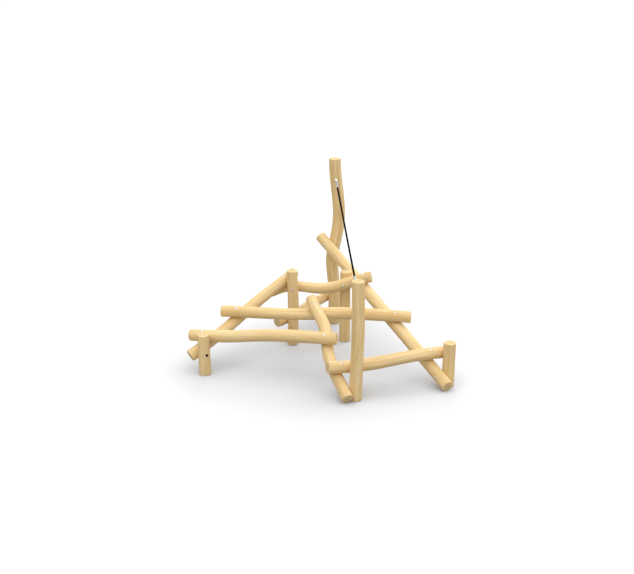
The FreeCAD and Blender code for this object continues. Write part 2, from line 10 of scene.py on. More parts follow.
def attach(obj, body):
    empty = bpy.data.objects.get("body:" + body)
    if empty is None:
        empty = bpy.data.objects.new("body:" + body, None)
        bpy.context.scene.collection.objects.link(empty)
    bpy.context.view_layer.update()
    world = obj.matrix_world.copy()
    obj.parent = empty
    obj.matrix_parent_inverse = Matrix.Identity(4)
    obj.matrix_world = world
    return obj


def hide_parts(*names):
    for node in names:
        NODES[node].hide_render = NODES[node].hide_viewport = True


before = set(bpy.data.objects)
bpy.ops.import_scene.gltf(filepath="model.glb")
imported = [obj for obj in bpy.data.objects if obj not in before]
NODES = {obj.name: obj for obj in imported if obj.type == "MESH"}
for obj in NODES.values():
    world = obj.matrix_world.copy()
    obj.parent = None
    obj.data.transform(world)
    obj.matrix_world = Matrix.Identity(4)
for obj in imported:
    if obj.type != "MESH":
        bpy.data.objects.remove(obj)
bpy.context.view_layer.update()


# ------------------------------------------------------------------ the model's numbers, in metres
TIMBER = {
    "log_left_slanted": [
        (-1.3223, -0.4867, 0.1750, 0.06250),
        (-1.1919, -0.4063, 0.2475, 0.06105),
        (-1.0686, -0.3133, 0.3174, 0.06051),
        (-0.9515, -0.2117, 0.3860, 0.06091),
        (-0.8393, -0.1048, 0.4549, 0.06102),
        (-0.7283, 0.0040, 0.5228, 0.06177),
        (-0.6146, 0.1113, 0.5883, 0.06151),
        (-0.4976, 0.2161, 0.6525, 0.06002),
        (-0.3775, 0.3164, 0.7177, 0.05844),
        (-0.2552, 0.4080, 0.7911, 0.05412),
    ],
    "log_left_level": [
        (-1.3230, -0.3489, 0.3531, 0.06085),
        (-1.1642, -0.4211, 0.3742, 0.06156),
        (-1.0031, -0.4882, 0.3953, 0.06273),
        (-0.8398, -0.5486, 0.4187, 0.06242),
        (-0.6724, -0.5948, 0.4457, 0.06190),
        (-0.5032, -0.6376, 0.4662, 0.06221),
        (-0.3330, -0.6791, 0.4795, 0.06338),
        (-0.1624, -0.7210, 0.4871, 0.06322),
        (0.0078, -0.7644, 0.4925, 0.06176),
        (0.1773, -0.8102, 0.4995, 0.06102),
    ],
    "log_long_level": [
        (-1.0200, -0.1529, 0.5433, 0.06076),
        (-0.8563, -0.1731, 0.5441, 0.06040),
        (-0.6926, -0.1930, 0.5423, 0.06008),
        (-0.5287, -0.2121, 0.5404, 0.06008),
        (-0.3648, -0.2300, 0.5399, 0.06002),
        (-0.2007, -0.2467, 0.5420, 0.06007),
        (-0.0366, -0.2605, 0.5519, 0.06163),
        (0.1273, -0.2736, 0.5641, 0.06318),
        (0.2914, -0.2898, 0.5694, 0.06366),
        (0.4552, -0.3088, 0.5686, 0.06317),
        (0.6188, -0.3298, 0.5655, 0.06206),
        (0.7822, -0.3520, 0.5630, 0.06088),
        (0.9453, -0.3763, 0.5592, 0.06024),
    ],
    "log_upper_wavy": [
        (-0.5241, 0.3842, 0.5578, 0.05633),
        (-0.3736, 0.3715, 0.6198, 0.05582),
        (-0.2126, 0.3510, 0.6372, 0.05610),
        (-0.0532, 0.3143, 0.6321, 0.05907),
        (0.1048, 0.2749, 0.6473, 0.06100),
        (0.2580, 0.2430, 0.6950, 0.06059),
        (0.4080, 0.2178, 0.7559, 0.06077),
        (0.5631, 0.1963, 0.8030, 0.06070),
    ],
    "log_rear_short": [
        (-0.4534, 0.2113, 0.2695, 0.05520),
        (-0.3438, 0.3340, 0.2753, 0.05529),
        (-0.2418, 0.4629, 0.2851, 0.05539),
        (-0.1510, 0.5998, 0.2957, 0.05549),
        (-0.0631, 0.7390, 0.2991, 0.05559),
        (0.0271, 0.8767, 0.2955, 0.05569),
        (0.1078, 1.0201, 0.2902, 0.05580),
        (0.2132, 1.1451, 0.2767, 0.05590),
        (0.3532, 1.2256, 0.2512, 0.05600),
    ],
    "log_right_slanted": [
        (0.0190, 0.8981, 1.0450, 0.05969),
        (0.1285, 0.7790, 0.9450, 0.05980),
        (0.2323, 0.6459, 0.8573, 0.05964),
        (0.3307, 0.5028, 0.7794, 0.05978),
        (0.4240, 0.3526, 0.7092, 0.06201),
        (0.5131, 0.1978, 0.6437, 0.06437),
        (0.6002, 0.0401, 0.5822, 0.06457),
        (0.6864, -0.1192, 0.5236, 0.06343),
        (0.7731, -0.2786, 0.4665, 0.06256),
        (0.8657, -0.4307, 0.3993, 0.06277),
        (0.9611, -0.5781, 0.3261, 0.06295),
        (1.0600, -0.7194, 0.2456, 0.06207),
        (1.1638, -0.8510, 0.1556, 0.06138),
        (1.2735, -0.9676, 0.0530, 0.06077),
    ],
    "log_front_curved": [
        (-0.0793, -0.2169, 0.7095, 0.05743),
        (-0.0315, -0.3499, 0.6357, 0.05848),
        (0.0330, -0.4750, 0.5596, 0.06082),
        (0.0731, -0.6051, 0.4763, 0.06164),
        (0.0855, -0.7377, 0.3876, 0.06028),
        (0.1085, -0.8686, 0.2987, 0.06031),
        (0.1579, -0.9951, 0.2143, 0.05951),
        (0.2195, -1.1191, 0.1341, 0.05960),
        (0.2761, -1.2470, 0.0564, 0.05892),
    ],
    "log_right_level": [
        (0.0812, -1.0943, 0.3178, 0.06014),
        (0.2320, -1.0431, 0.3017, 0.06084),
        (0.3878, -1.0060, 0.3018, 0.06311),
        (0.5450, -0.9773, 0.3135, 0.06353),
        (0.7009, -0.9439, 0.3299, 0.06177),
        (0.8545, -0.9000, 0.3418, 0.05993),
        (1.0038, -0.8423, 0.3427, 0.05945),
        (1.1459, -0.7693, 0.3309, 0.06035),
        (1.2782, -0.6827, 0.3056, 0.06124),
    ],
    "post_front_left": [
        (-1.1688, -0.5402, 0.0000, 0.06167),
        (-1.1716, -0.5402, 0.2168, 0.06103),
        (-1.1742, -0.5402, 0.4337, 0.05831),
    ],
    "post_front_centre": [
        (0.3556, -1.1411, -0.0000, 0.06081),
        (0.3580, -1.1411, 0.1744, 0.06205),
        (0.3627, -1.1411, 0.3488, 0.06256),
        (0.3673, -1.1411, 0.5231, 0.06232),
        (0.3707, -1.1411, 0.6975, 0.06296),
        (0.3715, -1.1411, 0.8720, 0.06225),
        (0.3685, -1.1411, 1.0464, 0.06109),
        (0.3653, -1.1411, 1.2208, 0.06090),
    ],
    "post_right": [
        (1.2898, -0.8190, 0.0000, 0.06162),
        (1.2916, -0.8190, 0.2323, 0.06177),
        (1.2933, -0.8190, 0.4645, 0.06248),
    ],
    "post_mid_left": [
        (-0.2848, 0.2517, 0.0000, 0.05786),
        (-0.2795, 0.2517, 0.1708, 0.05727),
        (-0.2764, 0.2517, 0.3416, 0.05839),
        (-0.2770, 0.2517, 0.5124, 0.05948),
        (-0.2821, 0.2517, 0.6832, 0.05851),
        (-0.2886, 0.2517, 0.8539, 0.05769),
    ],
    "post_rear_tall": [
        (0.1754, 0.9005, -0.0000, 0.06753),
        (0.1804, 0.9005, 0.1621, 0.06699),
        (0.1803, 0.9005, 0.3242, 0.06675),
        (0.1727, 0.9006, 0.4862, 0.06789),
        (0.1585, 0.9005, 0.6477, 0.06972),
        (0.1559, 0.9006, 0.8097, 0.07106),
        (0.1831, 0.9006, 0.9695, 0.06989),
        (0.2130, 0.9005, 1.1288, 0.06890),
        (0.2265, 0.9005, 1.2903, 0.06841),
        (0.2202, 0.9005, 1.4523, 0.06907),
        (0.2031, 0.9005, 1.6135, 0.06857),
        (0.1851, 0.9005, 1.7747, 0.06753),
        (0.1776, 0.9005, 1.9366, 0.06658),
    ],
    "post_rear_centre": [
        (0.2878, 0.3528, 0.0000, 0.06053),
        (0.2887, 0.3528, 0.4046, 0.05826),
        (0.2896, 0.3528, 0.8093, 0.05712),
    ],
}

SEATS = [
    ("log_left_slanted", (-1.1776, -0.4422, 0.3001), (0.73232, 0.54021, 0.41459), (-0.62769, 0.77156, 0.10340), 0.0864, 0.0608, 0.0242),
    ("log_left_slanted", (-0.8615, -0.1902, 0.4697), (0.65417, 0.63813, 0.40602), (-0.75429, 0.59000, 0.28801), 0.0864, 0.0588, 0.0233),
    ("log_left_slanted", (-0.3942, 0.3437, 0.6635), (0.71804, 0.56642, 0.40445), (0.66686, -0.72628, -0.16677), 0.0708, 0.0438, 0.0184),
    ("log_left_slanted", (-0.3329, 0.2818, 0.6965), (0.71998, 0.55835, 0.41215), (-0.34162, -0.23180, 0.91081), 0.0692, 0.0525, 0.0213),
    ("log_left_level", (-1.1944, -0.3522, 0.3287), (0.91004, -0.39733, 0.11811), (-0.31956, -0.85397, -0.41064), 0.0860, 0.0611, 0.0242),
    ("log_left_level", (0.0446, -0.7157, 0.4634), (0.96547, -0.25799, 0.03619), (-0.18849, -0.78768, -0.58654), 0.0711, 0.0563, 0.0223),
    ("log_left_level", (-1.1796, -0.4776, 0.3469), (0.91378, -0.38842, 0.11886), (-0.11129, 0.04203, 0.99290), 0.0671, 0.0553, 0.0218),
    ("log_long_level", (-0.8953, -0.1148, 0.5106), (0.99250, -0.12213, -0.00584), (-0.10881, -0.86046, -0.49777), 0.0868, 0.0585, 0.0233),
    ("log_long_level", (0.7521, -0.3009, 0.5209), (0.99007, -0.13964, -0.01616), (-0.13420, -0.90469, -0.40438), 0.0753, 0.0503, 0.0202),
    ("log_long_level", (-0.0596, -0.3060, 0.5922), (0.99392, -0.07800, 0.07769), (0.02434, 0.84391, 0.53593), 0.0419, 0.0348, 0.0161),
    ("log_upper_wavy", (-0.3899, 0.3315, 0.6592), (0.97979, -0.09514, 0.17593), (0.01704, 0.91612, 0.40055), 0.0722, 0.0431, 0.0184),
    ("log_upper_wavy", (0.4070, 0.2753, 0.7225), (0.92864, -0.13599, 0.34515), (0.07934, -0.83606, -0.54288), 0.0828, 0.0598, 0.0238),
    ("log_upper_wavy", (-0.3002, 0.3112, 0.6096), (0.98792, -0.13981, 0.06688), (-0.06689, 0.00461, 0.99775), 0.0593, 0.0477, 0.0199),
    ("log_upper_wavy", (0.2461, 0.3046, 0.7097), (0.91628, -0.16859, 0.36334), (0.35726, -0.06619, -0.93166), 0.0552, 0.0442, 0.0184),
    ("log_rear_short", (-0.3399, 0.2614, 0.2443), (0.65414, 0.75496, 0.04634), (-0.02073, -0.04334, 0.99885), 0.0700, 0.0556, 0.0230),
    ("log_right_slanted", (0.7459, -0.3095, 0.5168), (0.47876, -0.81141, -0.33527), (0.87695, 0.42377, 0.22668), 0.0743, 0.0508, 0.0202),
    ("log_right_slanted", (0.4043, 0.2706, 0.7180), (0.46746, -0.81431, -0.34407), (0.80632, 0.23321, 0.54356), 0.0812, 0.0608, 0.0238),
    ("log_right_slanted", (1.0688, -0.7623, 0.2938), (0.53751, -0.71046, -0.45423), (0.79152, 0.61086, -0.01880), 0.0471, 0.0398, 0.0172),
    ("log_right_slanted", (1.2362, -0.8457, 0.1586), (0.57451, -0.62554, -0.52787), (-0.36186, 0.38437, -0.84931), 0.0729, 0.0515, 0.0206),
    ("log_right_slanted", (0.1249, 0.8731, 1.0106), (0.57088, -0.64365, -0.50971), (-0.45819, 0.26539, -0.84831), 0.0844, 0.0589, 0.0236),
    ("log_right_slanted", (0.3214, 0.4072, 0.7271), (0.48743, -0.79277, -0.36597), (0.19346, -0.31066, 0.93062), 0.0480, 0.0394, 0.0171),
    ("log_front_curved", (0.0439, -0.7160, 0.4631), (0.06126, -0.82730, -0.55842), (0.98179, -0.05085, 0.18304), 0.0716, 0.0560, 0.0223),
    ("log_front_curved", (-0.0307, -0.2712, 0.6179), (0.37481, -0.80479, -0.46025), (-0.92086, -0.26568, -0.28535), 0.0430, 0.0341, 0.0161),
    ("log_front_curved", (0.1378, -1.0161, 0.2727), (0.37246, -0.77525, -0.51016), (0.90344, 0.42864, 0.00821), 0.0665, 0.0532, 0.0214),
    ("log_front_curved", (0.2962, -1.1480, 0.1300), (0.35603, -0.79872, -0.48506), (-0.21151, 0.43672, -0.87438), 0.0710, 0.0510, 0.0206),
    ("log_right_level", (1.0687, -0.7624, 0.2938), (0.87225, 0.47940, -0.09673), (0.39320, -0.80503, -0.44421), 0.0477, 0.0394, 0.0172),
    ("log_right_level", (0.1369, -1.0180, 0.2719), (0.95163, 0.29819, -0.07405), (0.22210, -0.83416, -0.50482), 0.0661, 0.0535, 0.0214),
    ("log_right_level", (1.2360, -0.7838, 0.3015), (0.82027, 0.54713, -0.16676), (0.14108, 0.08901, 0.98599), 0.0485, 0.0402, 0.0173),
    ("post_front_left", (-1.1766, -0.4789, 0.3438), (-0.01233, 0.00000, 0.99992), (0.92045, -0.39069, 0.01135), 0.0686, 0.0543, 0.0218),
    ("post_front_centre", (0.3136, -1.1887, 0.0554), (0.01487, -0.00019, 0.99989), (-0.41385, 0.91032, 0.00633), 0.0699, 0.0516, 0.0206),
    ("post_right", (1.2651, -0.8776, 0.0810), (0.00753, 0.00000, 0.99997), (-0.67893, 0.73419, 0.00512), 0.0727, 0.0517, 0.0206),
    ("post_right", (1.2417, -0.7800, 0.2934), (0.00753, 0.00000, 0.99997), (0.83228, 0.55432, -0.00627), 0.0482, 0.0405, 0.0173),
    ("post_mid_left", (-0.3366, 0.2791, 0.6994), (-0.03946, -0.00001, 0.99922), (0.79594, 0.60456, 0.03144), 0.0691, 0.0526, 0.0213),
    ("post_mid_left", (-0.2956, 0.3105, 0.6056), (-0.03454, 0.00003, 0.99940), (0.98958, -0.13989, 0.03421), 0.0578, 0.0487, 0.0199),
    ("post_mid_left", (-0.3367, 0.2652, 0.2398), (0.01691, 0.00014, 0.99986), (0.65425, 0.75620, -0.01117), 0.0685, 0.0567, 0.0230),
    ("post_rear_tall", (0.1496, 0.8319, 0.9211), (0.20652, -0.00054, 0.97844), (-0.70228, 0.69622, 0.14861), 0.0782, 0.0629, 0.0236),
    ("post_rear_centre", (0.3006, 0.2946, 0.6708), (0.00228, 0.00000, 1.00000), (-0.98346, 0.18112, 0.00225), 0.0565, 0.0434, 0.0184),
    ("post_rear_centre", (0.3267, 0.3985, 0.7120), (0.00228, 0.00000, 1.00000), (0.52441, -0.85146, -0.00120), 0.0493, 0.0385, 0.0171),
]

JOINTS = [
    ("log_left_level", "log_left_slanted", (-1.2058, -0.4248, 0.4206), (-1.1420, -0.3686, 0.2292), "A"),
    ("log_left_level", "log_front_curved", (0.0482, -0.8069, 0.5389), (0.0929, -0.6954, 0.3663), "A"),
    ("log_long_level", "log_left_slanted", (-0.8582, -0.1995, 0.5905), (-0.8510, -0.0964, 0.4094), "A"),
    ("log_long_level", "log_right_slanted", (0.7811, -0.3767, 0.6108), (0.7852, -0.2776, 0.4191), "A"),
    ("log_front_curved", "log_long_level", (-0.0471, -0.3522, 0.6932), (-0.0339, -0.2368, 0.5154), "A"),
    ("log_right_level", "log_front_curved", (0.2189, -1.0731, 0.3493), (0.1501, -0.9912, 0.1705), "A"),
    ("log_right_level", "log_right_slanted", (1.1108, -0.8143, 0.3843), (1.0742, -0.7316, 0.1875), "A"),
    ("log_upper_wavy", "post_rear_centre", (0.2599, 0.1882, 0.7000), (0.2963, 0.3916, 0.6975), "A"),
    ("log_upper_wavy", "log_right_slanted", (0.4738, 0.1872, 0.8299), (0.4824, 0.2729, 0.6252), "A"),
    ("log_left_slanted", "log_upper_wavy", (-0.3817, 0.3007, 0.7669), (-0.3361, 0.3847, 0.5928), "A"),
    ("post_mid_left", "log_upper_wavy", (-0.2868, 0.2003, 0.6429), (-0.2626, 0.3971, 0.6337), "A"),
    ("log_right_slanted", "post_rear_tall", (0.0683, 0.7693, 0.9725), (0.2142, 0.9400, 0.9531), "A"),
    ("log_right_slanted", "post_right", (1.1474, -0.9140, 0.1302), (1.3272, -0.7948, 0.1271), "A"),
    ("post_front_left", "log_left_slanted", (-1.1610, -0.5558, 0.2236), (-1.2652, -0.4028, 0.2192), "B"),
    ("log_front_curved", "post_front_centre", (0.1964, -1.1916, 0.0989), (0.3981, -1.1280, 0.0993), "A"),
    ("log_rear_short", "post_rear_tall", (0.0325, 0.9813, 0.2924), (0.1984, 0.8910, 0.2947), "S"),
    ("log_rear_short", "post_mid_left", (-0.3903, 0.3495, 0.2750), (-0.2622, 0.2386, 0.2728), "S"),
]

ROPE_START = (0.19938, 0.73758, 1.68268)
ROPE_STOP = (0.34733, -0.98626, 1.15532)
EYE_TOP = (0.19424, 0.79753, 1.70102)
EYE_BOTTOM = (0.35248, -1.04621, 1.13699)
EYE_SOCKETS = [("post_rear_tall", (0.19424, 0.79753, 1.70102), (0.19214, 0.90051, 1.70102), 0.06798), ("post_front_centre", (0.35248, -1.04621, 1.13699), (0.36717, -1.14107, 1.13699), 0.06086)]
CAMERA_AT = (-0.01880, -9.90650, 4.28433)
CAMERA_PITCH = 0.342320   # radians below the horizon
FOCAL_PX = 997.15

RECESS_R = 0.0155
HEAD_R = 0.0130
CHAMFER = 0.008

# ------------------------------------------------------------------ camera first
cam_data = bpy.data.cameras.new("camera")
cam_data.sensor_fit = "HORIZONTAL"
cam_data.sensor_width = 36.0
cam_data.lens = FOCAL_PX * 36.0 / 634.0
cam_data.clip_end = 100.0
camera = bpy.data.objects.new("camera", cam_data)
bpy.context.scene.collection.objects.link(camera)
camera.location = CAMERA_AT
camera.rotation_euler = (math.pi / 2 - CAMERA_PITCH, 0.0, 0.0)
bpy.context.scene.camera = camera


# ------------------------------------------------------------------ small node helper
class Tree:
    def __init__(self, name):
        self.mat = bpy.data.materials.new(name)
        self.mat.use_nodes = True
        self.t = self.mat.node_tree
        self.t.nodes.clear()
        self.out = self.t.nodes.new("ShaderNodeOutputMaterial")
        self.bsdf = self.t.nodes.new("ShaderNodeBsdfPrincipled")
        self.t.links.new(self.bsdf.outputs[0], self.out.inputs[0])

    def node(self, kind, **props):
        n = self.t.nodes.new(kind)
        inputs = props.pop("inputs", {})
        for k, v in props.items():
            setattr(n, k, v)
        for k, v in inputs.items():
            self.put(v, n.inputs[k])
        return n

    def put(self, v, socket):
        if isinstance(v, bpy.types.NodeSocket):
            self.t.links.new(v, socket)
        else:
            socket.default_value = v

    def math(self, op, a, b=None, c=None, clamp=False):
        n = self.t.nodes.new("ShaderNodeMath")
        n.operation = op
        n.use_clamp = clamp
        for i, v in enumerate((a, b, c)):
            if v is not None:
                self.put(v, n.inputs[i])
        return n.outputs[0]

    def noise(self, vec, scale, detail=3.0, rough=0.5, distortion=0.0):
        n = self.t.nodes.new("ShaderNodeTexNoise")
        self.put(vec, n.inputs["Vector"])
        n.inputs["Scale"].default_value = scale
        n.inputs["Detail"].default_value = detail
        n.inputs["Roughness"].default_value = rough
        n.inputs["Distortion"].default_value = distortion
        return n.outputs[0]

    def ramp(self, fac, stops, mode="LINEAR"):
        n = self.t.nodes.new("ShaderNodeValToRGB")
        n.color_ramp.interpolation = mode
        el = n.color_ramp.elements
        while len(el) < len(stops):
            el.new(0.5)
        for e, (p, c) in zip(el, stops):
            e.position = p
            e.color = c if len(c) == 4 else (*c, 1.0)
        self.put(fac, n.inputs[0])
        return n.outputs[0]

    def mix(self, fac, a, b, mode="MIX"):
        n = self.t.nodes.new("ShaderNodeMix")
        n.data_type = "RGBA"
        n.blend_type = mode
        n.clamp_factor = True
        self.put(fac, n.inputs[0])
        self.put(a if isinstance(a, bpy.types.NodeSocket) else (*a, 1.0)[:4], n.inputs[6])
        self.put(b if isinstance(b, bpy.types.NodeSocket) else (*b, 1.0)[:4], n.inputs[7])
        return n.outputs[2]

    def scaled(self, vec, x, y, z):
        n = self.t.nodes.new("ShaderNodeVectorMath")
        n.operation = "MULTIPLY"
        self.put(vec, n.inputs[0])
        n.inputs[1].default_value = (x, y, z)
        return n.outputs[0]

    def bump(self, height, strength, distance, normal=None):
        n = self.t.nodes.new("ShaderNodeBump")
        n.inputs["Strength"].default_value = strength
        n.inputs["Distance"].default_value = distance
        self.put(height, n.inputs["Height"])
        if normal is not None:
            self.put(normal, n.inputs["Normal"])
        return n.outputs[0]


def timber(r, g, b):
    """Display colour to linear, with the cooler cast of freshly planed pale wood."""
    def lin(c):
        c /= 255.0
        return c / 12.92 if c <= 0.04045 else ((c + 0.055) / 1.055) ** 2.4
    return (lin(r), lin(g) * 1.06, lin(b) * 1.135)


# ------------------------------------------------------------------ wood
def wood_material(name, seed, tint=1.0):
    """Solid wood in the log's own straightened coordinates: x and y across, z along the pith.
    The attribute "grain" holds them, "sawn" is 1 on end faces, "pit" is the depth below the round surface in units of 50 mm."""
    w = Tree(name)
    a = w.node("ShaderNodeAttribute", attribute_type="GEOMETRY", attribute_name="grain")
    off = w.node("ShaderNodeVectorMath", operation="ADD", inputs={0: a.outputs["Vector"], 1: (seed * 1.37, seed * 0.61, seed * 2.9)})
    g = off.outputs[0]
    sawn = w.node("ShaderNodeAttribute", attribute_type="GEOMETRY", attribute_name="sawn").outputs["Fac"]
    pit = w.node("ShaderNodeAttribute", attribute_type="GEOMETRY", attribute_name="pit").outputs["Fac"]
    knot = w.node("ShaderNodeAttribute", attribute_type="GEOMETRY", attribute_name="knot").outputs["Fac"]

    # year rings: distance from the pith, wandering a little around and along the log
    sep = w.node("ShaderNodeSeparateXYZ", inputs={0: a.outputs["Vector"]})
    wob = w.noise(w.scaled(g, 14.0, 14.0, 1.1), 1.0, 2.0, 0.5)
    wob2 = w.noise(w.scaled(g, 60.0, 60.0, 3.0), 1.0, 3.0, 0.55)
    r2 = w.math("ADD", w.math("MULTIPLY", sep.outputs[0], sep.outputs[0]), w.math("MULTIPLY", sep.outputs[1], sep.outputs[1]))
    rad = w.math("SQRT", r2)
    rad = w.math("ADD", rad, w.math("MULTIPLY", w.math("SUBTRACT", wob, 0.5), 0.016))
    rad = w.math("ADD", rad, w.math("MULTIPLY", w.math("SUBTRACT", wob2, 0.5), 0.0035))
    ring = w.math("FRACT", w.math("DIVIDE", rad, 0.0052))
    ring = w.ramp(ring, [(0.0, (0.0, 0.0, 0.0)), (0.62, (0.30, 0.30, 0.30)), (0.90, (1.0, 1.0, 1.0)), (1.0, (0.05, 0.05, 0.05))])

    # colours: pale debarked surface, slightly warmer streaks, faint fibre lines
    streak = w.noise(w.scaled(g, 26.0, 26.0, 1.3), 1.0, 4.0, 0.55, 0.25)
    broad = w.noise(w.scaled(g, 7.0, 7.0, 1.9), 1.0, 2.0, 0.5)
    fibre = w.noise(w.scaled(g, 420.0, 420.0, 9.0), 1.0, 2.0, 0.5)
    fine = w.noise(w.scaled(g, 150.0, 150.0, 3.5), 1.0, 3.0, 0.6)
    pale = timber(240, 210, 155)
    warm = timber(222, 183, 121)
    deep = timber(196, 152, 92)
    base = w.mix(w.ramp(streak, [(0.36, (0, 0, 0)), (0.66, (1, 1, 1))]), pale, warm)
    base = w.mix(w.math("MULTIPLY", w.ramp(broad, [(0.44, (0, 0, 0)), (0.72, (1, 1, 1))]), 0.45), base, timber(228, 190, 122))
    base = w.mix(w.math("MULTIPLY", ring, 0.20), base, deep)
    base = w.mix(w.math("MULTIPLY", w.ramp(fine, [(0.48, (0, 0, 0)), (0.76, (1, 1, 1))]), 0.36), base, timber(202, 160, 100))
    base = w.mix(w.math("MULTIPLY", w.ramp(fibre, [(0.46, (0, 0, 0)), (0.72, (1, 1, 1))]), 0.16), base, timber(176, 134, 80))
    # thin dark drying lines that follow the grain
    crack_n = w.noise(w.scaled(g, 34.0, 34.0, 0.75), 1.0, 2.0, 0.4)
    line = w.math("ABSOLUTE", w.math("SUBTRACT", crack_n, 0.52))
    crack = w.ramp(line, [(0.0, (1, 1, 1)), (0.0055, (0, 0, 0))])
    gate = w.ramp(w.noise(w.scaled(g, 9.0, 9.0, 2.4), 1.0, 1.0, 0.5), [(0.54, (0, 0, 0)), (0.62, (1, 1, 1))])
    crack = w.math("MULTIPLY", crack, gate)
    base = w.mix(w.math("MULTIPLY", crack, 0.52), base, timber(140, 96, 52))
    # sawn ends: rings and radial rays read clearly, the heart is a shade darker and greyer
    heart = w.ramp(rad, [(0.010, (1, 1, 1)), (0.046, (0, 0, 0))])
    endc = w.mix(w.math("MULTIPLY", ring, 0.55), timber(232, 203, 148), timber(186, 146, 92))
    endc = w.mix(w.math("MULTIPLY", heart, 0.35), endc, timber(178, 146, 98))
    ray = w.noise(w.scaled(g, 320.0, 320.0, 1.0), 1.0, 2.0, 0.6)
    endc = w.mix(w.math("MULTIPLY", w.ramp(ray, [(0.45, (0, 0, 0)), (0.75, (1, 1, 1))]), 0.18), endc, timber(160, 122, 74))
    base = w.mix(sawn, base, endc)
    # knots
    base = w.mix(w.math("MULTIPLY", knot, 0.34), base, timber(158, 108, 60))
    # painted shade: inside the bolt recesses the wood is darkened with depth below the round surface, and the deep
    # bore is painted near black
    base = w.mix(w.math("MULTIPLY", w.ramp(pit, [(0.05, (0, 0, 0)), (0.16, (1, 1, 1))]), 0.45), base, timber(140, 100, 58))
    base = w.mix(w.ramp(pit, [(0.22, (0, 0, 0)), (0.62, (1, 1, 1))]), base, (0.012, 0.009, 0.006))
    w.put(base, w.bsdf.inputs["Base Color"])
    rough = w.math("ADD", 0.50, w.math("MULTIPLY", fine, 0.16))
    rough = w.math("ADD", rough, w.math("MULTIPLY", sawn, 0.16), clamp=True)
    w.put(rough, w.bsdf.inputs["Roughness"])
    w.bsdf.inputs["Specular IOR Level"].default_value = 0.38
    h = w.math("ADD", w.math("MULTIPLY", fibre, 0.25), w.math("MULTIPLY", fine, 0.75))
    h = w.math("SUBTRACT", h, w.math("MULTIPLY", crack, 1.3))
    h = w.math("SUBTRACT", h, w.math("MULTIPLY", w.math("MULTIPLY", ring, sawn), 0.5))
    w.put(w.bump(h, 0.35, 0.0012), w.bsdf.inputs["Normal"])
    return w.mat


# ------------------------------------------------------------------ timbers
def spline(stations, n):
    """Natural cubic through the stations, by chord length: positions, radii, tangents at n places."""
    P = np.array(stations, float)
    q = np.r_[0.0, np.cumsum(np.linalg.norm(np.diff(P[:, :3], axis=0), axis=1))]
    k = len(q)
    h = np.diff(q)
    A = np.zeros((k, k)); B = np.zeros((k, P.shape[1]))
    A[0, 0] = A[-1, -1] = 1.0
    for i in range(1, k - 1):
        A[i, i - 1], A[i, i], A[i, i + 1] = h[i - 1], 2 * (h[i - 1] + h[i]), h[i]
        B[i] = 6 * ((P[i + 1] - P[i]) / h[i] - (P[i] - P[i - 1]) / h[i - 1])
    Mm = np.linalg.solve(A, B)
    s = np.asarray(n, float)
    i = np.clip(np.searchsorted(q, s, side="right") - 1, 0, k - 2)
    a = (q[i + 1] - s)[:, None]; b = (s - q[i])[:, None]; hh = h[i][:, None]
    V = (Mm[i] * a ** 3 + Mm[i + 1] * b ** 3) / (6 * hh) + (P[i] / hh - Mm[i] * hh / 6) * a + (P[i + 1] / hh - Mm[i + 1] * hh / 6) * b
    D = (-Mm[i] * a ** 2 + Mm[i + 1] * b ** 2) / (2 * hh) - (P[i] / hh - Mm[i] * hh / 6) + (P[i + 1] / hh - Mm[i + 1] * hh / 6)
    T = D[:, :3] / np.linalg.norm(D[:, :3], axis=1)[:, None]
    return V[:, :3], V[:, 3], T, q[-1]


def transport(T, first):
    x = np.array(first, float)
    x -= T[0] * (x @ T[0]); x /= np.linalg.norm(x)
    out = [x]
    for t in T[1:]:
        x = x - t * (x @ t); x /= np.linalg.norm(x)
        out.append(x)
    X = np.array(out)
    return X, np.cross(T, X)


def value_noise(x, y, z, seed):
    return mnoise.noise(Vector((x + seed * 17.3, y - seed * 9.1, z + seed * 5.7)))


SEG = 88
OBLIQUE = {"log_right_slanted": ((-0.13, -0.86, 0.45), 0.30)}


